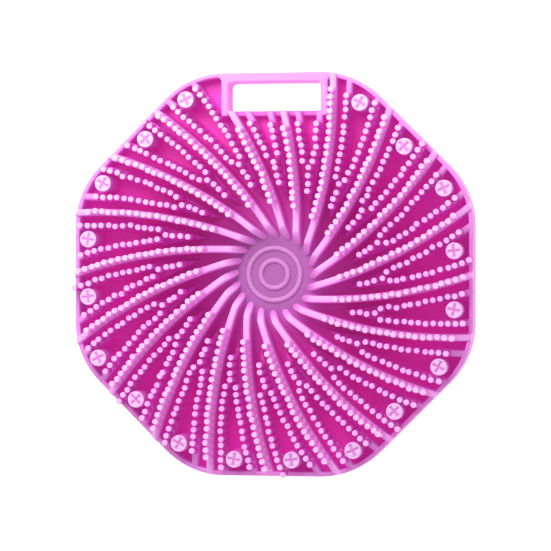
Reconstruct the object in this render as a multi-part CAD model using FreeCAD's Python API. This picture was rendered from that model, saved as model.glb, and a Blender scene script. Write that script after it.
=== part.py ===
"""Palm-sized silicone cleansing pad: an octagonal web that carries a raised rim, a hanging slot,
a hub with two rings, twenty spiral ribs and twenty forked ribs, all bearing rows of round bristles.

Millimetres. The pad lies on its back: +Z points out of the bristle side, the hanging slot is
towards +Y, and the origin is the centre of the flat back face.
"""
import FreeCAD, Part
import math
import os

Vector = FreeCAD.Vector
UP = Vector(0, 0, 1)
CENTRE = Vector(0, 0, 0)

# Outline of the pad: a regular octagon with generously rounded corners.
APOTHEM = 60.0
CORNER_RADIUS = 25.0
SIDES = 8

# Levels above the flat back face.
FLOOR_Z = 2.5
HUB_Z = 3.2
HUB_RING_Z = 3.85
FORK_RIB_Z = 5.0
SLOT_SILL_Z = 6.0
RIM_Z = 8.6
POST_Z = 13.7
SPIRAL_RIB_Z = 9.6
FORK_TIP_Z = 13.7
SPIRAL_TIP_Z = 16.0

# Rim and back edge.
RIM_WIDTH = 1.3
RIM_ROUND = 0.45
BACK_EDGE_ROUND = 0.8

# Hanging slot and the walls around it.
SLOT_LEFT_X = -13.15
SLOT_RIGHT_X = 14.75
SLOT_LOW_Y = 48.7
SLOT_HIGH_Y = 57.2
SLOT_CORNER_RADIUS = 1.4
SLOT_SIDE_WALL = 2.05
SLOT_SILL_WIDTH = 1.6
SLOT_FRAME_MARGIN = 0.6

# Hub.
HUB_RADIUS = 11.8
HUB_RING_RADII = {"hub_ring_outer": 7.85, "hub_ring_inner": 4.12}
HUB_RING_WIDTH = 1.5

# Ribs repeat around the hub.
SECTORS = 20
SECTOR_ANGLE = 360.0 / SECTORS

# Spiral rib: one arc that leaves the hub and curls anticlockwise.
SPIRAL_START_RADIUS = 10.9
SPIRAL_START_ANGLE = 12.9
SPIRAL_HEADING = 50.0
SPIRAL_CURVE_RADIUS = 127.4
SPIRAL_BASE_WIDTH = 2.5
SPIRAL_TOP_WIDTH = 1.95
SPIRAL_RAMP_LENGTH = 4.5

# Forked rib: a spear-shaped stem that splits into a clockwise arm and an anticlockwise arm.
STEM_TIP_RADIUS = 22.4
STEM_TIP_ANGLE = 25.0
STEM_RAMP_LENGTH = 3.8
STEM_START_RADIUS = 27.21
STEM_START_ANGLE = 29.56
STEM_HEADING = 49.8
STEM_CURVE_RADIUS = 136.5
CLOCKWISE_START_RADIUS = 35.92
CLOCKWISE_START_ANGLE = 32.46
CLOCKWISE_HEADING = 45.9
CLOCKWISE_CURVE_RADIUS = 129.5
ANTICLOCKWISE_START_RADIUS = 34.97
ANTICLOCKWISE_START_ANGLE = 37.20
ANTICLOCKWISE_HEADING = 60.1
ANTICLOCKWISE_CURVE_RADIUS = 163.2
ARM_BASE_WIDTH = 2.4
ARM_TOP_WIDTH = 2.0
ARM_LEAD_IN = 1.0

# Near the rim and the slot the fork arms climb to the rim's height.
ARM_CLIMB_START_RADIUS = 49.5
ARM_CLIMB_END_RADIUS = 57.0
SLOT_CLIMB_START_Y = 40.5
SLOT_CLIMB_END_Y = 46.5

# Bristles.
BRISTLE_ROOT_RADIUS = 0.90
BRISTLE_TIP_RADIUS = 0.85
BRISTLE_CROWN = 0.45
SPIRAL_BRISTLE_RADIUS = 21.44
SPIRAL_PITCH = 2.109
SPIRAL_BRISTLES = 19
SPIRAL_EDGE_INSET = 2.4
SPIRAL_SLOT_CLEARANCE = 4.8
FORK_PITCH = 2.186
FORK_EDGE_INSET = 0.9
FORK_SLOT_CLEARANCE = 3.2
STEM_BRISTLES = 4
ARM_LIMIT_RADIUS = 59.4
SLOT_SIDE_CLEARANCE = 0.8

# Posts with a cross-cut top, one in each fork.
POST_TOP_RADIUS = 2.45
POST_BASE_RADIUS = 2.65
POST_EDGE_INSET = 5.2
POST_CHAMFER = 0.35
POST_GROOVE_WIDTH = 0.55
POST_GROOVE_DEPTH = 0.5
POST_PIT_RADIUS = 0.55

REACH = 90.0


class ArcPath:
    """A level arc that curls anticlockwise, followed by the distance along it."""

    def __init__(self, radius_from_hub, angle, heading, curve_radius):
        self.start = polar(radius_from_hub, angle)
        self.heading = heading
        self.curve_radius = curve_radius
        self.centre = self.start + polar(curve_radius, heading + 90.0)

    def heading_at(self, distance):
        return self.heading + math.degrees(distance / self.curve_radius)

    def point_at(self, distance):
        return self.centre + polar(self.curve_radius, self.heading_at(distance) - 90.0)


def polar(radius, angle, z=0.0):
    """A point at a radius and an angle in degrees from +X."""
    return Vector(radius * math.cos(math.radians(angle)), radius * math.sin(math.radians(angle)), z)


def sector_name(stem, sector):
    return "%s_%02d" % (stem, sector + 1)


def turned(shape, sector):
    """A copy of a shape carried round the hub to its sector."""
    copy = shape.copy()
    copy.rotate(CENTRE, UP, SECTOR_ANGLE * sector)
    return copy


def turned_point(point, sector):
    return FreeCAD.Rotation(UP, SECTOR_ANGLE * sector).multVec(point)


def octagon_face(inset, z):
    """The rounded octagon, drawn in by an inset."""
    apothem = APOTHEM - inset
    radius = CORNER_RADIUS - inset
    step = 360.0 / SIDES
    centre_distance = (apothem - radius) / math.cos(math.radians(step / 2))
    edges = []
    last = None
    first = None
    for side in range(SIDES):
        angle = side * step
        centre = polar(centre_distance, angle + step / 2, z)
        begin = centre + polar(radius, angle)
        middle = centre + polar(radius, angle + step / 2)
        end = centre + polar(radius, angle + step)
        if last is not None:
            edges.append(Part.LineSegment(last, begin).toShape())
        else:
            first = begin
        edges.append(Part.Arc(begin, middle, end).toShape())
        last = end
    edges.append(Part.LineSegment(last, first).toShape())
    return Part.Face(Part.Wire(edges))


def octagon_prism(inset, low, high):
    return octagon_face(inset, low).extrude(UP * (high - low))


def edge_distance(point):
    """How far inside the rounded octagon a point lies."""
    step = 360.0 / SIDES
    angle = math.degrees(math.atan2(point.y, point.x))
    flat = FreeCAD.Rotation(UP, -step * round(angle / step)).multVec(point)
    straight = (APOTHEM - CORNER_RADIUS) * math.tan(math.radians(step / 2))
    past_straight = abs(flat.y) - straight
    if past_straight <= 0:
        return APOTHEM - flat.x
    return CORNER_RADIUS - math.hypot(flat.x - (APOTHEM - CORNER_RADIUS), past_straight)


def block(x_low, x_high, y_low, y_high, z_low, z_high):
    corner = Vector(x_low, y_low, z_low)
    return Part.makeBox(x_high - x_low, y_high - y_low, z_high - z_low, corner)


def slot_prism(low, high):
    """The rounded slot as a solid, for cutting."""
    prism = block(SLOT_LEFT_X, SLOT_RIGHT_X, SLOT_LOW_Y, SLOT_HIGH_Y, low, high)
    upright = []
    for edge in prism.Edges:
        if abs(edge.tangentAt(edge.FirstParameter).z) > 0.5:
            upright.append(edge)
    return prism.makeFillet(SLOT_CORNER_RADIUS, upright)


def level_edges(shape, z):
    """Every edge of a shape that lies in one level."""
    found = []
    for edge in shape.Edges:
        if abs(edge.BoundBox.ZMin - z) < 1e-4 and abs(edge.BoundBox.ZMax - z) < 1e-4:
            found.append(edge)
    return found


def largest_solid(shape):
    return max(shape.Solids, key=lambda solid: solid.Volume)


def make_web():
    """The thin octagonal sheet with a rounded back edge and the slot through it."""
    web = octagon_prism(0.0, 0.0, FLOOR_Z).cut(slot_prism(-1.0, RIM_Z))
    return web.makeFillet(BACK_EDGE_ROUND, level_edges(web, 0.0))


def slot_frame_block(low, high, margin=0.0):
    """The space that the walls of the slot take up, out past the rim, grown by a margin."""
    left = SLOT_LEFT_X - SLOT_SIDE_WALL - margin
    right = SLOT_RIGHT_X + SLOT_SIDE_WALL + margin
    return block(left, right, SLOT_LOW_Y - SLOT_SILL_WIDTH - margin, REACH, low, high)


def beside_slot(place, margin):
    """Whether a place is level with the slot's length, and so runs into it going outwards."""
    return SLOT_LEFT_X - margin < place.x < SLOT_RIGHT_X + margin and place.y > 0


def make_wall():
    """Rim and slot frame in one piece, with a rounded top edge."""
    ring = octagon_prism(0.0, FLOOR_Z, RIM_Z).cut(octagon_prism(RIM_WIDTH, 0.0, RIM_Z + 1))
    frame = octagon_prism(0.0, FLOOR_Z, RIM_Z).common(slot_frame_block(FLOOR_Z, RIM_Z))
    wall = ring.fuse(frame).removeSplitter().cut(slot_prism(0.0, RIM_Z + 1))
    wall = wall.makeFillet(RIM_ROUND, level_edges(wall, RIM_Z))
    sill_y = SLOT_LOW_Y - SLOT_SILL_WIDTH
    sill_cut = block(SLOT_LEFT_X, SLOT_RIGHT_X, sill_y - 1, SLOT_LOW_Y + 1, SLOT_SILL_Z, RIM_Z + 1)
    return wall.cut(sill_cut)


def make_hub_disc():
    disc = Part.makeCylinder(HUB_RADIUS, HUB_Z - FLOOR_Z, Vector(0, 0, FLOOR_Z))
    return disc.makeFillet(0.3, level_edges(disc, HUB_Z))


def make_hub_ring(mean_radius):
    """A low ring with a rounded crest, standing on the hub."""
    inner = mean_radius - HUB_RING_WIDTH / 2
    outer = mean_radius + HUB_RING_WIDTH / 2
    ring = Part.makeCylinder(outer, HUB_RING_Z - HUB_Z, Vector(0, 0, HUB_Z))
    ring = ring.cut(Part.makeCylinder(inner, HUB_RING_Z, Vector(0, 0, 0)))
    return ring.makeFillet(0.35, level_edges(ring, HUB_RING_Z))


def rib_section(path, distance, base_width, top_width, low, high):
    """The drafted section of a rib, square to its path at one distance."""
    point = path.point_at(distance)
    across = polar(1.0, path.heading_at(distance) - 90.0)
    base_right = point + across * (base_width / 2) + UP * low
    base_left = point - across * (base_width / 2) + UP * low
    top_right = point + across * (top_width / 2) + UP * high
    top_left = point - across * (top_width / 2) + UP * high
    return Part.Face(Part.makePolygon([base_right, top_right, top_left, base_left, base_right]))


def swept_rib(path, start, end, base_width, top_width, low, high):
    """A rib of constant section along an arc, from one distance to another."""
    section = rib_section(path, start, base_width, top_width, low, high)
    turn = math.degrees((end - start) / path.curve_radius)
    return section.revolve(path.centre, UP, turn)


def ramp_cutter(path, length, low, high):
    """Removes everything above a straight ramp at the start of a path."""
    along = polar(1.0, path.heading)
    across = polar(1.0, path.heading + 90.0)
    side = path.start - across * 5.0
    toe = side + UP * low
    brow = side + along * length + UP * high
    above_brow = side + along * length + UP * (high + 5.0)
    behind = side - along * 5.0
    corners = [toe, brow, above_brow, behind + UP * (high + 5.0), behind + UP * low, toe]
    return Part.Face(Part.makePolygon(corners)).extrude(across * 10.0)


def trimmed_rib(rib, sector, wall, hub):
    """A rib at its sector, ended by the outline, the rim, the hub and the slot."""
    placed = turned(rib, sector).common(octagon_prism(0.0, 0.0, SPIRAL_TIP_Z))
    placed = placed.cut(wall).cut(hub)
    left = SLOT_LEFT_X - SLOT_SIDE_WALL
    beyond_slot = block(left, SLOT_RIGHT_X, SLOT_LOW_Y, REACH, 0.0, SPIRAL_TIP_Z)
    if placed.common(beyond_slot).Volume > 0.01:
        placed = placed.cut(beyond_slot)
    return largest_solid(placed)


def make_spiral_rib(path):
    rib = swept_rib(path, 0.0, REACH, SPIRAL_BASE_WIDTH, SPIRAL_TOP_WIDTH, FLOOR_Z, SPIRAL_RIB_Z)
    rib = rib.cut(ramp_cutter(path, SPIRAL_RAMP_LENGTH, HUB_Z, SPIRAL_RIB_Z))
    return rib


def fork_relief():
    """The space above the fork arms: low in the middle of the pad, climbing to rim and slot."""
    corners = [
        Vector(0, 0, FORK_RIB_Z),
        Vector(ARM_CLIMB_START_RADIUS, 0, FORK_RIB_Z),
        Vector(ARM_CLIMB_END_RADIUS, 0, RIM_Z),
        Vector(REACH, 0, RIM_Z),
        Vector(REACH, 0, SPIRAL_TIP_Z),
        Vector(0, 0, SPIRAL_TIP_Z),
        Vector(0, 0, FORK_RIB_Z),
    ]
    relief = Part.Face(Part.makePolygon(corners)).revolve(CENTRE, UP, 360)
    left = SLOT_LEFT_X - SLOT_SIDE_CLEARANCE
    right = SLOT_RIGHT_X + SLOT_SIDE_CLEARANCE
    slope = [
        Vector(left, SLOT_CLIMB_START_Y, FORK_RIB_Z),
        Vector(left, SLOT_CLIMB_END_Y, RIM_Z),
        Vector(left, REACH, RIM_Z),
        Vector(left, REACH, 0),
        Vector(left, SLOT_CLIMB_START_Y, 0),
        Vector(left, SLOT_CLIMB_START_Y, FORK_RIB_Z),
    ]
    return relief.cut(Part.Face(Part.makePolygon(slope)).extrude(Vector(right - left, 0, 0)))


def make_stem(clockwise, anticlockwise):
    """The spear-shaped stem of a fork, a wedge in plan with a ramp at its tip."""
    half = ARM_TOP_WIDTH / 2
    right = clockwise.start + polar(half, clockwise.heading - 90.0)
    left = anticlockwise.start + polar(half, anticlockwise.heading + 90.0)
    tip = polar(STEM_TIP_RADIUS, STEM_TIP_ANGLE)
    corners = []
    for point in (tip, right, left, tip):
        corners.append(point + UP * FLOOR_Z)
    wedge = Part.Face(Part.makePolygon(corners)).extrude(UP * (FORK_RIB_Z - FLOOR_Z))
    ramp_path = ArcPath(STEM_TIP_RADIUS, STEM_TIP_ANGLE, STEM_HEADING, STEM_CURVE_RADIUS)
    return wedge.cut(ramp_cutter(ramp_path, STEM_RAMP_LENGTH, FLOOR_Z, FORK_RIB_Z))


def make_forked_rib(clockwise, anticlockwise):
    """Stem and both arms fused, before the relief and the outline trim them."""
    fork = make_stem(clockwise, anticlockwise)
    for arm in (clockwise, anticlockwise):
        blade = swept_rib(arm, -ARM_LEAD_IN, REACH, ARM_BASE_WIDTH, ARM_TOP_WIDTH, FLOOR_Z, RIM_Z)
        fork = fork.fuse(blade)
    return fork


def make_bristle(root_z, tip_z):
    """One round bristle with a slight taper and a rounded tip."""
    height = tip_z - root_z
    shank = Part.makeCone(BRISTLE_ROOT_RADIUS, BRISTLE_TIP_RADIUS, height, Vector(0, 0, root_z))
    return shank.makeFillet(BRISTLE_CROWN, level_edges(shank, tip_z))


def spiral_bristle_points(path):
    """Evenly pitched places along a spiral rib, from the first bristle outwards."""
    distance = 0.0
    while path.point_at(distance).Length < SPIRAL_BRISTLE_RADIUS:
        distance += 0.01
    return [path.point_at(distance + SPIRAL_PITCH * index) for index in range(SPIRAL_BRISTLES)]


def stem_bristle_points(path):
    return [path.point_at(FORK_PITCH * index) for index in range(STEM_BRISTLES)]


def arm_bristle_points(path):
    """Evenly pitched places along an arm of a fork, out to the limit radius."""
    points = []
    point = path.start
    while point.Length < ARM_LIMIT_RADIUS:
        points.append(point)
        point = path.point_at(FORK_PITCH * len(points))
    return points


def has_room(point, edge_inset, slot_clearance):
    """Whether a bristle stands clear of the pad's edge and of the slot."""
    if edge_distance(point) < edge_inset:
        return False
    return not (beside_slot(point, SLOT_SIDE_CLEARANCE) and point.y > SLOT_LOW_Y - slot_clearance)


def plant_spiral_row(prototype, points, sector):
    """Copies of a bristle along one spiral rib."""
    row = []
    for point in points:
        place = turned_point(point, sector)
        if not has_room(place, SPIRAL_EDGE_INSET, SPIRAL_SLOT_CLEARANCE):
            break
        bristle = prototype.copy()
        bristle.translate(place)
        row.append(bristle)
    return row


def plant_fork_row(prototype, points, sector, fork):
    """Copies of a bristle along one row of a fork, cut to the fork where it climbs."""
    row = []
    for point in points:
        place = turned_point(point, sector)
        if not has_room(place, FORK_EDGE_INSET, FORK_SLOT_CLEARANCE):
            break
        bristle = prototype.copy()
        bristle.translate(place)
        if on_climb(place):
            bristle = largest_solid(bristle.cut(fork))
        row.append(bristle)
    return row


def on_climb(place):
    """Whether a place on a fork arm is where the arm climbs to the rim or the slot."""
    reach = BRISTLE_ROOT_RADIUS
    near_rim = place.Length + reach > ARM_CLIMB_START_RADIUS
    near_slot = beside_slot(place, SLOT_SIDE_CLEARANCE + reach)
    return near_rim or (near_slot and place.y + reach > SLOT_CLIMB_START_Y)


def make_post():
    """A stout post whose domed top is cut by a cross into four lobes."""
    height = POST_Z - FLOOR_Z
    post = Part.makeCone(POST_BASE_RADIUS, POST_TOP_RADIUS, height, Vector(0, 0, FLOOR_Z))
    post = post.makeFillet(POST_CHAMFER, level_edges(post, POST_Z))
    half = POST_GROOVE_WIDTH / 2
    low = POST_Z - POST_GROOVE_DEPTH
    cross = block(-half, half, -5, 5, low, POST_Z + 1).fuse(block(-5, 5, -half, half, low, POST_Z + 1))
    pit = Part.makeCylinder(POST_PIT_RADIUS, POST_GROOVE_DEPTH + 1, Vector(0, 0, low))
    return post.cut(cross.fuse(pit))


def post_place(clockwise, anticlockwise, sector):
    """Midway between the arms, at a set distance from the pad's edge."""
    distance = 10.0
    while True:
        middle = (clockwise.point_at(distance) + anticlockwise.point_at(distance)) / 2
        place = turned_point(middle, sector)
        if edge_distance(place) <= POST_EDGE_INSET:
            return place
        distance += 0.02


def make_posts(clockwise, anticlockwise):
    """One post in each fork, except where the slot takes its place."""
    post = make_post()
    posts = []
    for sector in range(SECTORS):
        place = post_place(clockwise, anticlockwise, sector)
        if beside_slot(place, SLOT_SIDE_WALL + POST_BASE_RADIUS):
            continue
        copy = post.copy()
        copy.rotate(CENTRE, UP, math.degrees(math.atan2(place.y, place.x)))
        copy.translate(place)
        posts.append(copy)
    return posts


def write(name, shape):
    shape.exportStep("parts/%s.step" % name)
    print("%-24s solids %3d volume %9.1f valid %s" % (name, len(shape.Solids), shape.Volume, shape.isValid()))


def main():
    os.makedirs("parts", exist_ok=True)
    spiral = ArcPath(SPIRAL_START_RADIUS, SPIRAL_START_ANGLE, SPIRAL_HEADING, SPIRAL_CURVE_RADIUS)
    stem = ArcPath(STEM_START_RADIUS, STEM_START_ANGLE, STEM_HEADING, STEM_CURVE_RADIUS)
    clockwise = ArcPath(CLOCKWISE_START_RADIUS, CLOCKWISE_START_ANGLE,
                        CLOCKWISE_HEADING, CLOCKWISE_CURVE_RADIUS)
    anticlockwise = ArcPath(ANTICLOCKWISE_START_RADIUS, ANTICLOCKWISE_START_ANGLE,
                            ANTICLOCKWISE_HEADING, ANTICLOCKWISE_CURVE_RADIUS)

    wall = make_wall()
    frame_space = slot_frame_block(0.0, RIM_Z + 1, SLOT_FRAME_MARGIN)
    hub = make_hub_disc()
    write("base_web", make_web())
    write("outer_rim", wall.cut(frame_space))
    write("slot_frame", largest_solid(wall.common(frame_space)))
    write("hub_disc", hub)
    for name, mean_radius in HUB_RING_RADII.items():
        write(name, make_hub_ring(mean_radius))

    spiral_rib = make_spiral_rib(spiral)
    forked_rib = make_forked_rib(clockwise, anticlockwise)
    relief = fork_relief()
    spiral_bristle = make_bristle(SPIRAL_RIB_Z, SPIRAL_TIP_Z)
    fork_bristle = make_bristle(FORK_RIB_Z, FORK_TIP_Z)
    spiral_bristles = []
    stem_bristles = []
    arm_bristles = []
    for sector in range(SECTORS):
        rib = trimmed_rib(spiral_rib, sector, wall, hub)
        write(sector_name("spiral_rib", sector), rib)
        spiral_bristles += plant_spiral_row(spiral_bristle, spiral_bristle_points(spiral), sector)
        fork = largest_solid(trimmed_rib(forked_rib, sector, wall, hub).cut(relief))
        write(sector_name("forked_rib", sector), fork)
        stem_bristles += plant_fork_row(fork_bristle, stem_bristle_points(stem), sector, fork)
        for arm in (clockwise, anticlockwise):
            arm_bristles += plant_fork_row(fork_bristle, arm_bristle_points(arm), sector, fork)

    write("rim_posts", Part.makeCompound(make_posts(clockwise, anticlockwise)))
    write("spiral_rib_bristles", Part.makeCompound(spiral_bristles))
    write("fork_stem_bristles", Part.makeCompound(stem_bristles))
    write("fork_arm_bristles", Part.makeCompound(arm_bristles))


main()
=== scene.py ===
"""A palm-sized cleansing pad moulded in one translucent pink silicone.

An octagonal web with a raised rim and a hanging slot carries a ringed hub, twenty spiral ribs and
twenty forked ribs. Rows of round bristles stand on the ribs, and a cross-cut post stands in each fork.
Meshes are made in millimetres in the frame of the CAD model and brought to metres at the end.
"""

import math
import random

import bmesh
import bpy
from mathutils import Matrix, Vector


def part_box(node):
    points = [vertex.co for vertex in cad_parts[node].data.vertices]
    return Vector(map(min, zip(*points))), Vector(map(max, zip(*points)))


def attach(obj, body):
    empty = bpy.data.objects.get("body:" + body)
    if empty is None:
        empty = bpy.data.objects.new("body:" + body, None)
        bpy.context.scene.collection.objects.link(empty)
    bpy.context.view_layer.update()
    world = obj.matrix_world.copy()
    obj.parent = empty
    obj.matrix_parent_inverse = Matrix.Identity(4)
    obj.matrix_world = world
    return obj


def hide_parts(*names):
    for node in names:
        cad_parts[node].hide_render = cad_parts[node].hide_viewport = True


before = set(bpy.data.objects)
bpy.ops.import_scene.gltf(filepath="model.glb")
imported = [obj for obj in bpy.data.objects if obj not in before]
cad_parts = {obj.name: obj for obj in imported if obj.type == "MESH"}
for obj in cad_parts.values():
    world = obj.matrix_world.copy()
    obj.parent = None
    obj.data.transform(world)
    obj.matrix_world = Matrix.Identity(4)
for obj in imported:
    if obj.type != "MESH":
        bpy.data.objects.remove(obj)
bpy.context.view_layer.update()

MM = 0.001


def level(node, end=1):
    """The highest or lowest level of a CAD node, in millimetres."""
    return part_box(node)[end].z / MM


# Levels, from the CAD nodes.
FLOOR_Z = level("base_web")
HUB_Z = level("hub_disc")
HUB_RING_Z = level("hub_ring_outer")
RIM_Z = level("outer_rim")
POST_Z = level("rim_posts")
FORK_RIB_Z = level("fork_stem_bristles", 0)
FORK_TIP_Z = level("fork_arm_bristles")
SPIRAL_RIB_Z = level("spiral_rib_01")
SPIRAL_TIP_Z = level("spiral_rib_bristles")

# How deep a feature's root lies inside what it stands on.
SUNK = 0.3
WALL_SUNK = 0.05
FORK_SUNK = 0.4

# Outline.
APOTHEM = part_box("base_web")[1].x / MM
CORNER_RADIUS = 25.0
SIDES = 8
CORNER_POINTS = 13
RIM_WIDTH = 1.3
RIM_ROUND = 0.45
BACK_EDGE_ROUND = 0.8

# Slot.
SLOT_LEFT_X = -13.15
SLOT_RIGHT_X = 14.75
SLOT_LOW_Y = 48.7
SLOT_HIGH_Y = 57.2
SLOT_CORNER_RADIUS = 1.4
SLOT_SIDE_WALL = 2.05
SLOT_BAND = 0.1
SLOT_SILL_WIDTH = 1.6
SLOT_SILL_Z = 6.0
SLOT_SILL_LAP = 0.6
SLOT_SILL_ROUND = 0.4
SLOT_FRAME_MARGIN = 0.6
FRAME_FILLET = 1.4
FRAME_FOOT_ROUND = 0.6
FRAME_LEFT_X = SLOT_LEFT_X - SLOT_SIDE_WALL - SLOT_FRAME_MARGIN
FRAME_RIGHT_X = SLOT_RIGHT_X + SLOT_SIDE_WALL + SLOT_FRAME_MARGIN

# Hub.
HUB_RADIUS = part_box("hub_disc")[1].x / MM
HUB_RING_WIDTH = 1.5
HUB_SKIRT = 2.2
HUB_SKIRT_STEPS = 8
HUB_SIDES = 96

# Ribs: an arc is given by where it starts, its heading there and its radius.
SECTORS = 20
SECTOR_ANGLE = 360.0 / SECTORS
SPIRAL_BASE_WIDTH = 2.5
SPIRAL_TOP_WIDTH = 1.95
SPIRAL_RAMP_LENGTH = 4.5
SPIRAL_NOSE_LENGTH = 1.1
SPIRAL_NOSE_STEP = 0.1
SPIRAL_LENGTH = 62.0
SPIRAL_FOOT_FLARE = 0.4
SPIRAL_CREST_ROUND = 0.6
ARM_BASE_WIDTH = 2.4
ARM_TOP_WIDTH = 2.1
ARM_LEAD = 1.2
ARM_LENGTH = 32.0
ARM_FOOT_FLARE = 0.3
ARM_CREST_ROUND = 0.5
FORK_VOXEL = 0.26
FORK_SMOOTHING = 4
STEM_TIP = (22.4, 25.0)
STEM_RAMP_LENGTH = 3.8
STEM_RAMP_LEAD = 0.4
RIB_STEP = 0.6
RIB_END_INSET = 0.08
RIB_END_SEARCH = 10.0
RIB_END_ROUND = 0.3
RIB_REACH = 2.6
CLIMB_START_RADIUS = 49.5
CLIMB_END_RADIUS = 57.0
SLOT_CLIMB_START_Y = 40.5
SLOT_CLIMB_END_Y = 46.5
SLOT_SIDE_CLEARANCE = 0.8

# Bristles.
BRISTLE_SIDES = 10
SPIRAL_BRISTLE_RADIUS = 21.44
SPIRAL_PITCH = 2.109
SPIRAL_BRISTLES = 19
SPIRAL_EDGE_INSET = 2.4
SPIRAL_SLOT_CLEARANCE = 4.8
FORK_PITCH = 2.186
FORK_EDGE_INSET = 0.9
FORK_SLOT_CLEARANCE = 3.2
STEM_BRISTLES = 4
ARM_BRISTLES = 13
ARM_LIMIT_RADIUS = 59.4
BRISTLE_LEAN = 1.2
BRISTLE_SHORTEST = 0.985

# Posts.
POST_EDGE_INSET = 5.2
POST_TOP_RADIUS = 2.45
POST_SIDES = 48
POST_RINGS = 12
POST_GROOVE_WIDTH = 0.38
POST_GROOVE_DEPTH = 0.5
POST_LOBE_REACH = 1.3
POST_LOBE_RADIUS = 0.8
POST_LOBE_DROP = 0.28
POST_EDGE_ROUND = 0.26
POST_SLOT_MARGIN = 4.4
PLACE_STEP = 0.02

# Camera and light, in metres.
CAMERA_PLACE = (0.120, 0.0, 0.698)
CAMERA_AIM = (0.0003, -0.0004, 0.0032)
SOFTBOX_PLACE = (-0.05, 0.14, 0.17)


# ---------------------------------------------------------------- plan geometry

def polar(radius, angle, z=0.0):
    """A point at a radius and an angle in degrees from +X."""
    return Vector((radius * math.cos(math.radians(angle)), radius * math.sin(math.radians(angle)), z))


def turned(point, sector):
    return Matrix.Rotation(math.radians(SECTOR_ANGLE * sector), 3, "Z") @ point


def smooth(value):
    """Eases from 0 to 1."""
    value = min(1.0, max(0.0, value))
    return value * value * (3 - 2 * value)


class ArcPath:
    """A level arc that curls anticlockwise, followed by the distance along it."""

    def __init__(self, radius_from_hub, angle, heading, curve_radius):
        self.start = polar(radius_from_hub, angle)
        self.heading = heading
        self.curve_radius = curve_radius
        self.centre = self.start + polar(curve_radius, heading + 90.0)

    def point_at(self, distance):
        turn = math.degrees(distance / self.curve_radius)
        return self.centre + polar(self.curve_radius, self.heading + turn - 90.0)

    def measure(self, point):
        """The distance along the path and to its right of a point."""
        arm = point - self.centre
        angle = math.atan2(arm.y, arm.x) - math.radians(self.heading - 90.0)
        angle = (angle + math.pi) % (2 * math.pi) - math.pi
        return angle * self.curve_radius, math.hypot(arm.x, arm.y) - self.curve_radius


SPIRAL = ArcPath(10.9, 12.9, 50.0, 127.4)
STEM = ArcPath(27.21, 29.56, 49.8, 136.5)
CLOCKWISE_ARM = ArcPath(35.92, 32.46, 45.9, 129.5)
ANTICLOCKWISE_ARM = ArcPath(34.97, 37.20, 60.1, 163.2)
ARMS = (CLOCKWISE_ARM, ANTICLOCKWISE_ARM)


def edge_distance(point):
    """How far inside the rounded octagon a point lies, and the outward direction there."""
    step = 360.0 / SIDES
    side = round(math.degrees(math.atan2(point.y, point.x)) / step)
    flat = Matrix.Rotation(math.radians(-step * side), 3, "Z") @ point
    straight = (APOTHEM - CORNER_RADIUS) * math.tan(math.radians(step / 2))
    outward = Vector((1, 0, 0))
    distance = APOTHEM - flat.x
    if abs(flat.y) > straight:
        arm = Vector((flat.x - (APOTHEM - CORNER_RADIUS), flat.y - math.copysign(straight, flat.y), 0))
        distance = CORNER_RADIUS - arm.length
        outward = arm.normalized()
    return distance, Matrix.Rotation(math.radians(step * side), 3, "Z") @ outward


def beside_slot(place, margin):
    """Whether a place is level with the slot's length, and so runs into it going outwards."""
    return SLOT_LEFT_X - margin < place.x < SLOT_RIGHT_X + margin and place.y > 0


def fork_top(place):
    """How high a forked rib stands at a place: low inside, climbing to the rim and to the slot."""
    climb = (math.hypot(place.x, place.y) - CLIMB_START_RADIUS) / (CLIMB_END_RADIUS - CLIMB_START_RADIUS)
    if beside_slot(place, SLOT_SIDE_CLEARANCE):
        slot_climb = (place.y - SLOT_CLIMB_START_Y) / (SLOT_CLIMB_END_Y - SLOT_CLIMB_START_Y)
        climb = max(climb, slot_climb)
    return FORK_RIB_Z + (RIM_Z - FORK_RIB_Z) * smooth(climb)


# ---------------------------------------------------------------- mesh helpers

def skin(bm, loops):
    """A tube through a stack of closed loops of points, bent from a grid and joined along its seam."""
    count = len(loops[0])
    verts = bmesh.ops.create_grid(bm, x_segments=count, y_segments=len(loops) - 1, size=1.0)["verts"]
    for index, vert in enumerate(verts):
        row, column = divmod(index, count + 1)
        vert.co = loops[row][column % count]
    bmesh.ops.remove_doubles(bm, verts=verts, dist=1e-4)


def cap_flat(bm, z):
    """Fills the flat area between all open edges at one level."""
    open_edges = []
    for edge in bm.edges:
        if edge.is_boundary and all(abs(vert.co.z - z) < 1e-3 for vert in edge.verts):
            open_edges.append(edge)
    bmesh.ops.triangle_fill(bm, edges=open_edges, use_beauty=True, normal=(0, 0, 1))


def rounded_points(centres, radius, z):
    """Points round a polygon with rounded corners, from the centres of its corner arcs."""
    step = 360.0 / len(centres)
    points = []
    for corner, centre in enumerate(centres):
        for place in range(CORNER_POINTS):
            angle = step * (corner + place / (CORNER_POINTS - 1))
            points.append(centre + polar(radius, angle, z))
    return points


def octagon_points(inset, z):
    centre_distance = (APOTHEM - CORNER_RADIUS) / math.cos(math.radians(180.0 / SIDES))
    centres = [polar(centre_distance, (side + 0.5) * 360.0 / SIDES) for side in range(SIDES)]
    return rounded_points(centres, CORNER_RADIUS - inset, z)


def slot_points(growth, z):
    left = SLOT_LEFT_X + SLOT_CORNER_RADIUS
    right = SLOT_RIGHT_X - SLOT_CORNER_RADIUS
    low = SLOT_LOW_Y + SLOT_CORNER_RADIUS
    high = SLOT_HIGH_Y - SLOT_CORNER_RADIUS
    corners = ((right, high), (left, high), (left, low), (right, low))
    centres = [Vector((x, y, 0)) for x, y in corners]
    return rounded_points(centres, SLOT_CORNER_RADIUS + growth, z)


def close_holes(bm):
    """Fills every open end with one face."""
    rims = [edge for edge in bm.edges if edge.is_boundary]
    return bmesh.ops.holes_fill(bm, edges=rims, sides=0)["faces"]


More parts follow.
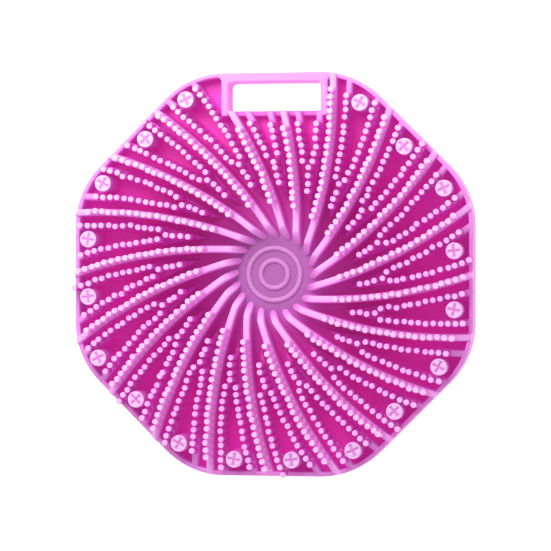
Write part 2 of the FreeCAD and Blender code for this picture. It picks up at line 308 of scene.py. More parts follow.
def quarter_round(radius, steps):
    """Pairs that run round a quarter circle: distance in from the side, distance below the top."""
    pairs = []
    for index in range(steps + 1):
        angle = math.radians(90.0 * index / steps)
        pairs.append((radius * (1 - math.cos(angle)), radius * (1 - math.sin(angle))))
    return pairs


def lathe(profile, sides):
    """A closed shape turned about Z from pairs of radius and level."""
    bm = bmesh.new()
    verts = [bm.verts.new((radius, 0, z)) for radius, z in profile]
    edges = [bm.edges.new(pair) for pair in zip(verts, verts[1:])]
    bmesh.ops.spin(bm, geom=verts + edges, cent=(0, 0, 0), axis=(0, 0, 1), angle=2 * math.pi,
                   steps=sides, use_merge=True)
    bmesh.ops.remove_doubles(bm, verts=bm.verts, dist=1e-4)
    close_holes(bm)
    bmesh.ops.recalc_face_normals(bm, faces=bm.faces)
    return bm


def soften(bm, verts, times):
    """Evens out the places of verts a few times."""
    for _ in range(times):
        bmesh.ops.smooth_vert(bm, verts=verts, factor=0.5, use_axis_x=True, use_axis_y=True,
                              use_axis_z=True)


def mesh_of(bm, name):
    """Turns a bmesh into a mesh and lets the bmesh go."""
    mesh = bpy.data.meshes.new(name)
    bm.to_mesh(mesh)
    bm.free()
    return mesh


def copies_of(shape, moves):
    """One bmesh with a copy of a small mesh for every transform."""
    bm = bmesh.new()
    for move in moves:
        one = shape.copy()
        one.transform(move)
        bm.from_mesh(one)
        bpy.data.meshes.remove(one)
    bpy.data.meshes.remove(shape)
    return bm


def finish_piece(bm, name, nodes, material, remade=True):
    """Makes a bmesh in millimetres a smooth piece in metres that stands for CAD nodes."""
    if remade:
        bmesh.ops.recalc_face_normals(bm, faces=bm.faces)
    bmesh.ops.transform(bm, matrix=Matrix.Scale(MM, 4), verts=bm.verts)
    mesh = mesh_of(bm, name)
    mesh.shade_smooth()
    piece = bpy.data.objects.new(name, mesh)
    bpy.context.collection.objects.link(piece)
    mesh.materials.append(material)
    mesh.set_sharp_from_angle(angle=math.radians(50))
    weighted = piece.modifiers.new("even_normals", "WEIGHTED_NORMAL")
    weighted.keep_sharp = True
    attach(piece, "root")
    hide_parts(*nodes)
    return piece


# ---------------------------------------------------------------- material

def linear(hex_colour):
    """An sRGB hex colour as linear RGBA."""
    channels = []
    for start in (1, 3, 5):
        value = int(hex_colour[start:start + 2], 16) / 255.0
        channels.append(value / 12.92 if value <= 0.04045 else ((value + 0.055) / 1.055) ** 2.4)
    return (*channels, 1.0)


def add_node(tree, kind, settings=None, values=None, links=None):
    """Adds a node with its settings, socket values and incoming links."""
    node = tree.nodes.new(kind)
    for key, value in (settings or {}).items():
        setattr(node, key, value)
    for key, value in (values or {}).items():
        node.inputs[key].default_value = value
    for key, source in (links or {}).items():
        tree.links.new(source, node.inputs[key])
    return node


def colour_ramp(tree, factor, stops):
    """A colour ramp through pairs of position and hex colour."""
    node = add_node(tree, "ShaderNodeValToRGB", links={"Fac": factor})
    ramp = node.color_ramp
    while len(ramp.elements) < len(stops):
        ramp.elements.new(1.0)
    for element, (position, colour) in zip(ramp.elements, stops):
        element.position = position
        element.color = linear(colour)
    return node.outputs["Color"]


# Painted light and shade: thin raised silicone lets light through and reads pale, thick shaded silicone
# reads deep magenta, and the tones paint this in.
# Floor tones go by distance from the hub's centre, all others by level, both in millimetres.
RADIUS_SPAN = 62.0
# The crest level carries the ribs' painted light along their crests; the nose tone paints a spiral rib's
# nose a little darker.
CREST_LEVEL = "crest_level"
SPIRAL_FADE_LENGTH = 3.5
SPIRAL_NOSE_TONE = 0.72
# Painted shade on the floor: deepest in the channels near the hub, lighter at the hub's foot and towards the
# rim.
FLOOR_SHADING_TONES = ((0.0, "#B064AC"), (11.5, "#C872C4"), (14.0, "#D066C2"), (18.0, "#D048B2"), (25.0, "#CC32A6"),
               (34.0, "#DA32B2"), (46.0, "#EC40C6"), (60.0, "#EC46CE"))
# Painted shade and light on the hub: the sunk disc is painted darker, the ring tops paler.
HUB_SHADING_TONES = ((2.5, "#C06CBA"), (3.2, "#B468B0"), (3.5, "#C07CBC"), (3.9, "#D292CE"))
# Painted light and shade on the ribs: crests are painted pale, sides and roots deep magenta.
RIB_SHADING_TONES = ((2.5, "#BC2496"), (4.6, "#BA3CA6"), (6.4, "#CA5CBE"), (8.0, "#DE86D8"), (9.3, "#F2A8EE"),
             (9.6, "#F6B0F2"))
# Painted light and shade on the bristles: tips are painted pale, bodies and roots deeper.
SPIRAL_BRISTLE_SHADING_TONES = ((9.0, "#E894E0"), (13.0, "#F0A2EC"), (15.3, "#F6B0F2"), (16.0, "#FFD0FE"))
FORK_BRISTLE_SHADING_TONES = ((4.5, "#C434A6"), (9.0, "#CA42B0"), (12.4, "#CE58BC"), (13.2, "#E88EE2"),
                      (13.7, "#FCC4FA"))
# Painted light on the rim and slot frame: the top is painted paler than the sides.
RIM_SHADING_TONES = ((0.0, "#D050BE"), (2.5, "#D45CC4"), (6.0, "#D868CC"), (8.0, "#EA90E4"), (8.6, "#F29CEC"))
# Painted light on the posts: the crown is painted pale, the body deeper.
POST_SHADING_TONES = ((2.5, "#D44CBC"), (9.0, "#D860C8"), (13.0, "#DC70CC"), (13.35, "#EE9CE8"), (13.7, "#FED2FC"))


def make_silicone(name, height_tones, floor_tones=FLOOR_SHADING_TONES, floor_fade=(2.5, 7.0),
                  level_name=None, glow=0.12):
    """Translucent platinum-cured silicone from a satin-blasted mould.

    Light scatters a millimetre or two inside it, so edges glow. On top of that the tones paint light
    and shade: pale crests and deep roots by level, and floor shade by distance from the hub. The blasted
    mould leaves a fine grain that spreads the highlights. The grain is drawn at 0.35 mm, coarser
    than the real one, so that it shows. A little painted glow stands for light that crosses the pad
    and lifts the shade.
    """
    material = bpy.data.materials.new(name)
    material.use_nodes = True
    tree = material.node_tree
    shader = tree.nodes["Principled BSDF"]
    where = add_node(tree, "ShaderNodeTexCoord").outputs["Object"]
    flat = add_node(tree, "ShaderNodeVectorMath", {"operation": "MULTIPLY"}, {1: (1, 1, 0)}, {0: where})
    radius = add_node(tree, "ShaderNodeVectorMath", {"operation": "LENGTH"}, links={0: flat.outputs[0]})
    radius_part = add_node(tree, "ShaderNodeMapRange", values={"From Max": RADIUS_SPAN * MM},
                           links={"Value": radius.outputs["Value"]})
    floor_stops = [(mm / RADIUS_SPAN, colour) for mm, colour in floor_tones]
    floor_colour = colour_ramp(tree, radius_part.outputs[0], floor_stops)
    axes = add_node(tree, "ShaderNodeSeparateXYZ", links={0: where})
    stood = axes.outputs["Z"]
    if level_name:
        stood = add_node(tree, "ShaderNodeAttribute", {"attribute_name": level_name}).outputs["Fac"]
    height_part = add_node(tree, "ShaderNodeMapRange", values={"From Max": SPIRAL_TIP_Z * MM},
                           links={"Value": stood})
    height_stops = [(mm / SPIRAL_TIP_Z, colour) for mm, colour in height_tones]
    height_colour = colour_ramp(tree, height_part.outputs[0], height_stops)
    rise = add_node(tree, "ShaderNodeMapRange", {"interpolation_type": "SMOOTHSTEP"},
                    {"From Min": floor_fade[0] * MM, "From Max": floor_fade[1] * MM}, {"Value": stood})
    body = add_node(tree, "ShaderNodeMix", {"data_type": "RGBA"},
                    links={"Factor": rise.outputs[0], 6: floor_colour, 7: height_colour})
    clouds = add_node(tree, "ShaderNodeTexNoise", values={"Scale": 1 / (9.0 * MM), "Detail": 2.0},
                      links={"Vector": where})
    cloud_value = add_node(tree, "ShaderNodeMapRange", values={"To Min": 0.94, "To Max": 1.06},
                           links={"Value": clouds.outputs["Fac"]})
    tone = add_node(tree, "ShaderNodeHueSaturation",
                    links={"Value": cloud_value.outputs[0], "Color": body.outputs[2]})
    tree.links.new(tone.outputs[0], shader.inputs["Base Color"])
    grain = add_node(tree, "ShaderNodeTexNoise", values={"Scale": 1 / (0.35 * MM), "Detail": 3.0},
                     links={"Vector": where})
    gloss = add_node(tree, "ShaderNodeMapRange", values={"To Min": 0.36, "To Max": 0.52},
                     links={"Value": grain.outputs["Fac"]})
    tree.links.new(gloss.outputs[0], shader.inputs["Roughness"])
    bump = add_node(tree, "ShaderNodeBump", values={"Strength": 0.35, "Distance": 0.03 * MM},
                    links={"Height": grain.outputs["Fac"]})
    tree.links.new(bump.outputs[0], shader.inputs["Normal"])
    # Painted glow: the surface emits its own tone, standing for light through the silicone and lifting its
    # shade.
    tree.links.new(tone.outputs[0], shader.inputs["Emission Color"])
    shader.inputs["Emission Strength"].default_value = glow
    shader.inputs["IOR"].default_value = 1.41
    shader.inputs["Subsurface Weight"].default_value = 0.35
    shader.inputs["Subsurface Radius"].default_value = (1.0, 0.35, 0.85)
    shader.inputs["Subsurface Scale"].default_value = 1.4 * MM
    return material


# ---------------------------------------------------------------- web, rim and slot

def make_web(material):
    """The octagonal sheet, with a rounded back edge and the slot through it."""
    bm = bmesh.new()
    edge = quarter_round(BACK_EDGE_ROUND, 6)
    profile = [(BACK_EDGE_ROUND + 0.6, 0.0)] + edge[::-1] + [(0.0, FLOOR_Z)]
    skin(bm, [octagon_points(inset, z) for inset, z in profile])
    skin(bm, [slot_points(growth, z) for growth, z in profile])
    cap_flat(bm, 0.0)
    cap_flat(bm, FLOOR_Z)
    return finish_piece(bm, "pad_web", ["base_web"], material)


def corner_arc(centre, radius, start, end, steps=6):
    """Points round a corner in plan."""
    return [centre + polar(radius, start + (end - start) * index / steps) for index in range(steps + 1)]


def wall_inner_points():
    """The inside edge of the wall: the rim all round, and both legs of the slot's frame."""
    left = SLOT_LEFT_X - SLOT_SIDE_WALL
    right = SLOT_RIGHT_X + SLOT_SIDE_WALL
    foot_y = SLOT_LOW_Y - SLOT_SILL_WIDTH
    fillet = FRAME_FILLET
    foot = FRAME_FOOT_ROUND
    left_end = left - fillet
    right_end = right + fillet
    half_side = 180.0 / SIDES
    corner = polar((APOTHEM - CORNER_RADIUS) / math.cos(math.radians(half_side)), 90.0 - half_side)
    fillet_y = []
    for x in (left_end, right_end):
        drop = (CORNER_RADIUS - RIM_WIDTH) ** 2 - (abs(x) - corner.x) ** 2
        fillet_y.append(corner.y + math.sqrt(drop) - fillet)
    around = octagon_points(RIM_WIDTH, 0.0)
    first = 0
    while around[first].x >= left_end or around[first].y <= 0:
        first += 1
    points = []
    for point in around[first:] + around[:first]:
        if point.y <= 0 or not left_end - SLOT_BAND < point.x < right_end + SLOT_BAND:
            points.append(point)
    high = SLOT_HIGH_Y - SLOT_CORNER_RADIUS
    points += corner_arc(Vector((right_end, fillet_y[1], 0)), fillet, 90, 180)
    points += corner_arc(Vector((right - foot, foot_y + foot, 0)), foot, 0, -90)
    points += corner_arc(Vector((SLOT_RIGHT_X + foot, foot_y + foot, 0)), foot, -90, -180)
    for x, start in ((SLOT_RIGHT_X - SLOT_CORNER_RADIUS, 0), (SLOT_LEFT_X + SLOT_CORNER_RADIUS, 90)):
        points += corner_arc(Vector((x, high, 0)), SLOT_CORNER_RADIUS, start, start + 90)
    points += corner_arc(Vector((SLOT_LEFT_X - foot, foot_y + foot, 0)), foot, 0, -90)
    points += corner_arc(Vector((left + foot, foot_y + foot, 0)), foot, -90, -180)
    points += corner_arc(Vector((left_end, fillet_y[0], 0)), fillet, 0, 90)
    return points


def offset_points(points, distance, z):
    """A closed plan outline moved to its right by a distance, mitred at the corners."""
    moved = []
    count = len(points)
    for index, point in enumerate(points):
        before = (point - points[index - 1]).normalized()
        after = (points[(index + 1) % count] - point).normalized()
        right_before = Vector((before.y, -before.x, 0))
        right_after = Vector((after.y, -after.x, 0))
        middle = right_before + right_after
        reach = distance * 2 / max(0.5, middle.length_squared)
        moved.append(point + middle * reach + Vector((0, 0, z)))
    return moved


def make_wall():
    """Rim and slot frame as one closed wall, before it is parted."""
    bm = bmesh.new()
    profile = [(0.0, FLOOR_Z - WALL_SUNK)]
    profile += [(inset, RIM_Z - depth) for inset, depth in quarter_round(RIM_ROUND, 5)]
    inner = wall_inner_points()
    skin(bm, [octagon_points(inset, z) for inset, z in profile])
    skin(bm, [offset_points(inner, inset, z) for inset, z in profile])
    cap_flat(bm, FLOOR_Z - WALL_SUNK)
    cap_flat(bm, RIM_Z)
    for x in (FRAME_LEFT_X, FRAME_RIGHT_X):
        geometry = bm.verts[:] + bm.edges[:] + bm.faces[:]
        bmesh.ops.bisect_plane(bm, geom=geometry, plane_co=(x, 0, 0), plane_no=(1, 0, 0))
    return bm


def keep_faces(bm, wanted):
    """Deletes the faces that aren't wanted and closes what that opens."""
    unwanted = [face for face in bm.faces if not wanted(face.calc_center_median())]
    bmesh.ops.delete(bm, geom=unwanted, context="FACES")
    close_holes(bm)


def make_rim_and_frame(material):
    """The wall parted beside the slot, and the low sill under the slot."""
    rim = make_wall()
    slot_frame = rim.copy()
    keep_faces(rim, lambda centre: not FRAME_LEFT_X < centre.x < FRAME_RIGHT_X or centre.y < 0)
    keep_faces(slot_frame, lambda centre: FRAME_LEFT_X < centre.x < FRAME_RIGHT_X and centre.y > 0)
    middle_x = (SLOT_LEFT_X + SLOT_RIGHT_X) / 2
    middle_y = SLOT_LOW_Y - SLOT_SILL_WIDTH / 2
    size = Vector((SLOT_RIGHT_X - SLOT_LEFT_X + 2 * SLOT_SILL_LAP, SLOT_SILL_WIDTH,
                   SLOT_SILL_Z - FLOOR_Z + WALL_SUNK))
    centre = Vector((middle_x, middle_y, (SLOT_SILL_Z + FLOOR_Z - WALL_SUNK) / 2))
    sill = bmesh.ops.create_cube(slot_frame, size=1.0)["verts"]
    bmesh.ops.scale(slot_frame, vec=size, verts=sill)
    bmesh.ops.translate(slot_frame, vec=centre, verts=sill)
    sill_edges = {edge for vert in sill for edge in vert.link_edges}
    crest = [edge for edge in sill_edges if min(vert.co.z for vert in edge.verts) > SLOT_SILL_Z - 0.01]
    bmesh.ops.bevel(slot_frame, geom=crest, offset=SLOT_SILL_ROUND, segments=4, profile=0.5,
                    affect="EDGES", material=-1)
    finish_piece(rim, "pad_rim", ["outer_rim"], material)
    finish_piece(slot_frame, "hanging_slot_frame", ["slot_frame"], material)


# ---------------------------------------------------------------- hub

def make_hub(material):
    """The hub's disc with a soft foot, and its two rounded rings."""
    foot_z = FLOOR_Z + 0.01
    profile = [(0.0, FLOOR_Z - SUNK), (HUB_RADIUS + HUB_SKIRT, FLOOR_Z - SUNK)]
    for index in range(HUB_SKIRT_STEPS + 1):
        part = index / HUB_SKIRT_STEPS
        profile.append((HUB_RADIUS + HUB_SKIRT * (1 - 2 * part), foot_z + (HUB_Z - foot_z) * smooth(part)))
    profile += [(radius, HUB_Z) for radius in (8.0, 5.0, 2.5, 0.0)]
    disc = lathe(profile, HUB_SIDES)
    finish_piece(disc, "hub_face", ["hub_disc"], material)
    half = HUB_RING_WIDTH / 2
    rise = HUB_RING_Z - HUB_Z
    side = [(half + 0.2, HUB_Z - SUNK / 2), (half + 0.12, HUB_Z + 0.02), (half, HUB_Z + rise * 0.3),
            (half * 0.75, HUB_Z + rise * 0.8), (half * 0.35, HUB_RING_Z)]
    around = side + [(-across, z) for across, z in reversed(side)]
    for node in ("hub_ring_outer", "hub_ring_inner"):
        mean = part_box(node)[1].x / MM - half
        profile = [(mean + across, z) for across, z in around + around[:1]]
        finish_piece(lathe(profile, HUB_SIDES), "raised_" + node, [node], material)


# ---------------------------------------------------------------- ribs

def rib_section(base_width, top_width, low, high, flare, crest):
    """Half a rib's section, foot to crest, as distance from the middle and level."""
    half = [(base_width / 2 + flare, low), (base_width / 2 + flare * 0.3, low + SUNK + flare * 0.3),
            (base_width / 2, low + SUNK + flare)]
    half += [(top_width / 2 - inset, high - depth) for inset, depth in quarter_round(crest, 3)]
    return half


def sweep_rib(bm, path, start, end, section):
    """Sweeps a mirrored half section along an arc and closes both ends."""
    around = section + [(-across, z) for across, z in reversed(section)]
    begin = path.point_at(start)
    right = (begin - path.centre).normalized()
    verts = [bm.verts.new(begin + right * across + Vector((0, 0, z))) for across, z in around]
    edges = [bm.edges.new((verts[index - 1], verts[index])) for index in range(len(verts))]
    steps = max(2, round((end - start) / RIB_STEP))
    bmesh.ops.spin(bm, geom=verts + edges, cent=path.centre, axis=(0, 0, 1),
                   angle=(end - start) / path.curve_radius, steps=steps, use_merge=False)
    close_holes(bm)
    bmesh.ops.recalc_face_normals(bm, faces=bm.faces)


def lift(z, body_top, top):
    """A level of a rib whose top is moved from one level to another."""
    if z <= FLOOR_Z:
        return z
    return FLOOR_Z + (z - FLOOR_Z) * (top - FLOOR_Z) / (body_top - FLOOR_Z)


def end_of(path, sector):
    """Where a rib meets the edge of the pad or the slot, and the direction it faces there."""
    distance = RIB_END_SEARCH
    while True:
        place = turned(path.point_at(distance), sector)
        inside, outward = edge_distance(place)
        if beside_slot(place, SLOT_SIDE_WALL) and place.y > SLOT_LOW_Y - RIB_END_INSET:
            return place, Vector((0, 1, 0))
        if inside < RIB_END_INSET:
            return place, outward
        distance += PLACE_STEP


def cut_off(bm, path, sector, grown=False):
    """Cuts a rib off along the edge it meets, closes it, and rounds the cut or softens a grown one."""
    place, outward = end_of(path, sector)
    geometry = set()
    for face in bm.faces:
        measures = [path.measure(turned(vert.co, -sector)) for vert in face.verts]
        if all(abs(across) < RIB_REACH and distance > RIB_END_SEARCH for distance, across in measures):
            geometry.add(face)
            geometry.update(face.verts)
            geometry.update(face.edges)
    bmesh.ops.bisect_plane(bm, geom=list(geometry), plane_co=place, plane_no=outward, clear_outer=True)
    caps = close_holes(bm)
    border = [edge for face in caps for edge in face.edges]
    above = [edge for edge in border if min(vert.co.z for vert in edge.verts) > FLOOR_Z + 1]
    if grown:
        soften(bm, list({vert for edge in above for vert in edge.verts}), 2)
    else:
        bmesh.ops.bevel(bm, geom=above, offset=RIB_END_ROUND, segments=3, profile=0.5, affect="EDGES",
                        material=-1, clamp_overlap=True)


def drop_islands(bm, seed):
    """Keeps only the faces that join on to the one nearest a place."""
    first = min(bm.faces, key=lambda face: (face.calc_center_median() - seed).length)
    kept = {first}
    edge_of_kept = [first]
    while edge_of_kept:
        face = edge_of_kept.pop()
        for edge in face.edges:
            for other in edge.link_faces:
                if other not in kept:
                    kept.add(other)
                    edge_of_kept.append(other)
    lost = [face for face in bm.faces if face not in kept]
    bmesh.ops.delete(bm, geom=lost, context="FACES")
    stray = [vert for vert in bm.verts if not vert.link_faces]
    bmesh.ops.delete(bm, geom=stray, context="VERTS")


def spiral_top(distance):
    """How high a spiral rib stands at a distance from its nose."""
    nose_z = HUB_Z + SPIRAL_NOSE_STEP
    return nose_z + (SPIRAL_RIB_Z - nose_z) * smooth(distance / SPIRAL_RAMP_LENGTH)


def spiral_rib_mesh():
    """The spiral rib of the first sector, longer than the pad needs."""
    bm = bmesh.new()
    section = rib_section(SPIRAL_BASE_WIDTH, SPIRAL_TOP_WIDTH, FLOOR_Z - SUNK, SPIRAL_RIB_Z,
                          SPIRAL_FOOT_FLARE, SPIRAL_CREST_ROUND)
    sweep_rib(bm, SPIRAL, 0.0, SPIRAL_LENGTH, section)
    for vert in bm.verts:
        distance, across = SPIRAL.measure(vert.co)
        if distance < SPIRAL_NOSE_LENGTH:
            nose = math.sqrt(max(0.02, 1 - (1 - distance / SPIRAL_NOSE_LENGTH) ** 2))
            right = Vector((vert.co.x, vert.co.y, 0)) - SPIRAL.centre
            vert.co -= right.normalized() * across * (1 - nose)
        vert.co.z = lift(vert.co.z, SPIRAL_RIB_Z, spiral_top(distance))
    return bm


def fork_mesh():
    """The forked rib of the first sector at an even height, its stem and arms grown together."""
    bm = bmesh.new()
    root_z = FLOOR_Z - SUNK - FORK_SUNK
    section = rib_section(ARM_BASE_WIDTH, ARM_TOP_WIDTH, root_z, FORK_RIB_Z, ARM_FOOT_FLARE, ARM_CREST_ROUND)
    for arm in ARMS:
        sweep_rib(bm, arm, -ARM_LEAD, ARM_LENGTH, section)
    half = ARM_TOP_WIDTH / 2
    right = CLOCKWISE_ARM.start + polar(half, CLOCKWISE_ARM.heading - 90.0)
    left = ANTICLOCKWISE_ARM.start + polar(half, ANTICLOCKWISE_ARM.heading + 90.0)
    tip = polar(*STEM_TIP)
    plan = [bm.verts.new(point + Vector((0, 0, root_z))) for point in (tip, right, left)]
    wedge = bm.faces.new(plan)
    raised = bmesh.ops.extrude_face_region(bm, geom=[wedge], use_keep_orig=True)["geom"]
    raised = [item for item in raised if isinstance(item, bmesh.types.BMVert)]
    bmesh.ops.translate(bm, vec=(0, 0, FORK_RIB_Z - root_z), verts=raised)
    bmesh.ops.recalc_face_normals(bm, faces=bm.faces)
    return remeshed(bm, FORK_VOXEL, FORK_SMOOTHING)


def remeshed(bm, voxel, smoothing):
    """Grows overlapping closed shapes into one skin and softens it."""
    mesh = mesh_of(bm, "growing")
    body = bpy.data.objects.new("growing", mesh)
    bpy.context.collection.objects.link(body)
    grow = body.modifiers.new("grow", "REMESH")
    grow.mode = "VOXEL"
    grow.voxel_size = voxel
    grow.adaptivity = 0.0
    grown = bpy.data.meshes.new_from_object(body.evaluated_get(bpy.context.evaluated_depsgraph_get()))
    bpy.data.objects.remove(body)
    bpy.data.meshes.remove(mesh)
    result = bmesh.new()
    result.from_mesh(grown)
    bpy.data.meshes.remove(grown)
    soften(result, result.verts, smoothing)
    return result


def mark_crest(bm, tone_level):
    """Notes at every vert the level whose painted light and shade it takes, in metres."""
    layer = bm.verts.layers.float.new(CREST_LEVEL)
    for vert in bm.verts:
        vert[layer] = tone_level(vert.co) * MM


def spiral_tone_level(place, sector):
    """Keeps the painted light on a spiral rib's crest where it ramps down, and paints the crest a little
    darker at the nose.
    """
    distance = SPIRAL.measure(turned(place, -sector))[0]
    height = (place.z - FLOOR_Z) / (spiral_top(distance) - FLOOR_Z)
    fade = SPIRAL_NOSE_TONE + (1 - SPIRAL_NOSE_TONE) * smooth(distance / SPIRAL_FADE_LENGTH)
    return FLOOR_Z + (SPIRAL_RIB_Z - FLOOR_Z) * height * fade


def make_ribs(material):
    """All spiral and forked ribs, each its own piece."""
    spiral = spiral_rib_mesh()
    fork = fork_mesh()
    tip = polar(*STEM_TIP)
    along = polar(1.0, STEM.heading)
    for sector in range(SECTORS):
        spin = Matrix.Rotation(math.radians(SECTOR_ANGLE * sector), 4, "Z")
        rib = spiral.copy()
        bmesh.ops.transform(rib, matrix=spin, verts=rib.verts)
        cut_off(rib, SPIRAL, sector)
        drop_islands(rib, spin @ SPIRAL.point_at(RIB_END_SEARCH))
        mark_crest(rib, lambda place: spiral_tone_level(place, sector))
        name = "spiral_rib_%02d" % (sector + 1)
        finish_piece(rib, "moulded_" + name, [name], material)
        branch = fork.copy()
        for vert in branch.verts:
            ramp = smooth(((vert.co - tip).dot(along) + STEM_RAMP_LEAD) / STEM_RAMP_LENGTH)
            top = FLOOR_Z + (fork_top(spin @ vert.co) - FLOOR_Z) * ramp
            vert.co.z = lift(vert.co.z, FORK_RIB_Z, top)
        bmesh.ops.transform(branch, matrix=spin, verts=branch.verts)
        for arm in ARMS:
            cut_off(branch, arm, sector, grown=True)
        drop_islands(branch, spin @ STEM.point_at(2.0))
        mark_crest(branch, lambda place: place.z)
        name = "forked_rib_%02d" % (sector + 1)
        finish_piece(branch, "moulded_" + name, [name], material)
    spiral.free()
    fork.free()


# ---------------------------------------------------------------- bristles and posts

def bristle_mesh(height):
    """One round bristle with a flared root, a slight taper and a dimpled, rounded tip."""
    bm = lathe([(1.1, -SUNK), (0.92, 0.3), (0.87, height - 0.4), (0.76, height - 0.1), (0.56, height),
                (0.26, height - 0.14), (0.0, height - 0.2)], BRISTLE_SIDES)
    return mesh_of(bm, "bristle")


def has_room(place, edge_inset, slot_clearance):
    """Whether a bristle stands clear of the pad's edge and of the slot."""
    if edge_distance(place)[0] < edge_inset:
        return False
    return not (beside_slot(place, SLOT_SIDE_CLEARANCE) and place.y > SLOT_LOW_Y - slot_clearance)


def rows_of(row, edge_inset, slot_clearance):
    """A row of places repeated in every sector, each ending where it runs out of room."""
    places = []
    for sector in range(SECTORS):
        for point in row:
            place = turned(point, sector)
            if not has_room(place, edge_inset, slot_clearance):
                break
            places.append(place)
    return places


def spiral_places():
    """Where bristles stand on the spiral ribs."""
    distance = 0.0
    while SPIRAL.point_at(distance).length < SPIRAL_BRISTLE_RADIUS:
        distance += 0.01
    row = [SPIRAL.point_at(distance + SPIRAL_PITCH * index) for index in range(SPIRAL_BRISTLES)]
    return rows_of(row, SPIRAL_EDGE_INSET, SPIRAL_SLOT_CLEARANCE)


def fork_places(path, count):
    """Where bristles stand on one row of every fork."""
    row = [path.point_at(FORK_PITCH * index) for index in range(count)]
    row = [point for point in row if point.length < ARM_LIMIT_RADIUS]
    return rows_of(row, FORK_EDGE_INSET, FORK_SLOT_CLEARANCE)


def plant(name, node, places, root_level, tip, material, seed):
    """A row of bristles as one piece; each leans a little, as soft moulded bristles do."""
    drift = random.Random(seed)
    full = tip - root_level(Vector((0, 0, 0)))
    moves = []
    for place in places:
        root = root_level(place)
        lean_x = Matrix.Rotation(math.radians(drift.gauss(0, BRISTLE_LEAN)), 4, "X")
        lean_y = Matrix.Rotation(math.radians(drift.gauss(0, BRISTLE_LEAN)), 4, "Y")
        stretch = Matrix.Diagonal((1, 1, (tip - root) / full * drift.uniform(BRISTLE_SHORTEST, 1.0), 1))
        moves.append(Matrix.Translation(place + Vector((0, 0, root))) @ lean_x @ lean_y @ stretch)
    bm = copies_of(bristle_mesh(full), moves)
    finish_piece(bm, name, [node], material, remade=False)


def make_bristles(spiral_material, fork_material):
    """The three groups of bristles: on the spiral ribs, the fork stems and the fork arms."""
    plant("bristles_on_spiral_ribs", "spiral_rib_bristles", spiral_places(), lambda place: SPIRAL_RIB_Z,
          SPIRAL_TIP_Z, spiral_material, 11)
    plant("bristles_on_fork_stems", "fork_stem_bristles", fork_places(STEM, STEM_BRISTLES), fork_top,
          FORK_TIP_Z, fork_material, 12)
    arm_places = fork_places(CLOCKWISE_ARM, ARM_BRISTLES) + fork_places(ANTICLOCKWISE_ARM, ARM_BRISTLES)
    plant("bristles_on_fork_arms", "fork_arm_bristles", arm_places, fork_top, FORK_TIP_Z, fork_material, 13)


def post_mesh():
    """A stout post whose crown is parted by a cross into four soft lobes."""
    height = POST_Z - FLOOR_Z
    top = POST_TOP_RADIUS
    profile = [(top + 0.6, -SUNK), (top + 0.3, 0.12), (top + 0.18, 0.6), (top + 0.04, height - 0.9),
               (top, height - 0.32), (top - 0.08, height - 0.12), (top - POST_EDGE_ROUND, height)]
    reach = top - POST_EDGE_ROUND
    profile += [(reach * (1 - index / POST_RINGS), height) for index in range(1, POST_RINGS + 1)]
    bm = lathe(profile, POST_SIDES)
    lobe = POST_LOBE_REACH / math.sqrt(2)
    for vert in bm.verts:
        if vert.co.z < height - 0.01:
            continue
        across = min(abs(vert.co.x), abs(vert.co.y))
        cross = math.exp(-(across / POST_GROOVE_WIDTH) ** 2)
        inside = smooth((reach - 0.02 - math.hypot(vert.co.x, vert.co.y)) / 0.5)
        from_lobe = math.hypot(abs(vert.co.x) - lobe, abs(vert.co.y) - lobe)
        swell = math.exp(-(from_lobe / POST_LOBE_RADIUS) ** 4)
        vert.co.z -= inside * max(POST_GROOVE_DEPTH * cross, POST_LOBE_DROP * (1 - swell))
    return mesh_of(bm, "post")


def post_places():
    """Midway between the arms of each fork, at a set distance from the pad's edge."""
    places = []
    for sector in range(SECTORS):
        distance = 10.0
        place = Vector((0, 0, 0))
        while edge_distance(place)[0] > POST_EDGE_INSET:
            middle = (CLOCKWISE_ARM.point_at(distance) + ANTICLOCKWISE_ARM.point_at(distance)) / 2
            place = turned(middle, sector)
            distance += PLACE_STEP
        if not beside_slot(place, POST_SLOT_MARGIN):
            places.append(place)
    return places


def make_posts(material):
    """All posts as one piece, each with its cross turned to the hub."""
    moves = []
    for place in post_places():
        facing = Matrix.Rotation(math.atan2(place.y, place.x), 4, "Z")
        moves.append(Matrix.Translation(place + Vector((0, 0, FLOOR_Z))) @ facing)
    bm = copies_of(post_mesh(), moves)
    finish_piece(bm, "cross_cut_posts", ["rim_posts"], material, remade=False)


# ---------------------------------------------------------------- stage, light and camera

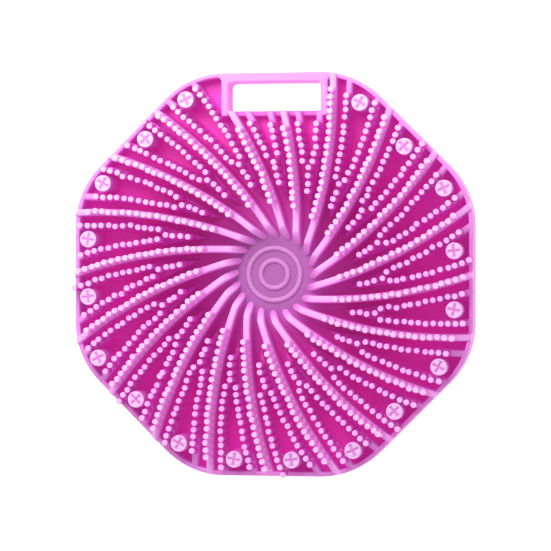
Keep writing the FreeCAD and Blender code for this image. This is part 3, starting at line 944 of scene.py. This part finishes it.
def make_stage():
    """A plain white floor, lit a little from within so that it stays even."""
    bm = bmesh.new()
    bmesh.ops.create_grid(bm, x_segments=1, y_segments=1, size=3.0)
    mesh = mesh_of(bm, "floor")
    floor = bpy.data.objects.new("floor", mesh)
    floor.location = (0, 0, -0.05 * MM)
    bpy.context.collection.objects.link(floor)
    material = bpy.data.materials.new("white_paper_sweep")
    material.use_nodes = True
    shader = material.node_tree.nodes["Principled BSDF"]
    shader.inputs["Base Color"].default_value = linear("#FFFFFF")
    shader.inputs["Roughness"].default_value = 0.9
    shader.inputs["Specular IOR Level"].default_value = 0.0
    shader.inputs["Emission Color"].default_value = linear("#FFFFFF")
    shader.inputs["Emission Strength"].default_value = 0.85
    mesh.materials.append(material)


def make_lights():
    """A near softbox over the slot's end, and an even white surround."""
    world = bpy.data.worlds.new("studio")
    world.use_nodes = True
    background = world.node_tree.nodes["Background"]
    background.inputs["Color"].default_value = linear("#FFFFFF")
    background.inputs["Strength"].default_value = 0.42
    bpy.context.scene.world = world
    light = bpy.data.lights.new("softbox", "AREA")
    light.shape = "SQUARE"
    light.size = 0.14
    light.energy = 0.43
    lamp = bpy.data.objects.new("softbox", light)
    lamp.location = SOFTBOX_PLACE
    lamp.rotation_euler = (-Vector(SOFTBOX_PLACE)).to_track_quat("-Z", "Y").to_euler()
    bpy.context.collection.objects.link(lamp)


def make_camera():
    """Almost square above the pad, a little to its right."""
    camera = bpy.data.objects.new("camera", bpy.data.cameras.new("camera"))
    camera.data.sensor_width = 36.0
    camera.data.lens = 153.9
    camera.data.clip_start = 0.01
    camera.location = CAMERA_PLACE
    back = (camera.location - Vector(CAMERA_AIM)).normalized()
    right = Vector((0, 1, 0)).cross(back).normalized()
    up = back.cross(right)
    camera.rotation_euler = Matrix((right, up, back)).transposed().to_euler()
    bpy.context.collection.objects.link(camera)
    bpy.context.scene.camera = camera
    bpy.context.scene.view_settings.view_transform = "Standard"


make_camera()
make_lights()
make_stage()
# The web takes the painted floor shade by distance from the hub.
make_web(make_silicone("web_silicone_painted_shading", FLOOR_SHADING_TONES[-1:] * 2))
# The rim and slot frame take painted light and shade by level only.
make_rim_and_frame(make_silicone("rim_silicone_painted_shading", RIM_SHADING_TONES, RIM_SHADING_TONES[:1] * 2, (-1.0, 0.0)))
# The hub's disc and rings take painted shade and light by level.
make_hub(make_silicone("hub_silicone_painted_shading", HUB_SHADING_TONES, floor_fade=(2.5, 2.9)))
make_ribs(make_silicone("rib_silicone", RIB_SHADING_TONES, level_name=CREST_LEVEL, glow=0.2))
make_bristles(make_silicone("spiral_bristle_silicone", SPIRAL_BRISTLE_SHADING_TONES, glow=0.2),
              make_silicone("fork_bristle_silicone", FORK_BRISTLE_SHADING_TONES, glow=0.24))
make_posts(make_silicone("post_silicone", POST_SHADING_TONES))
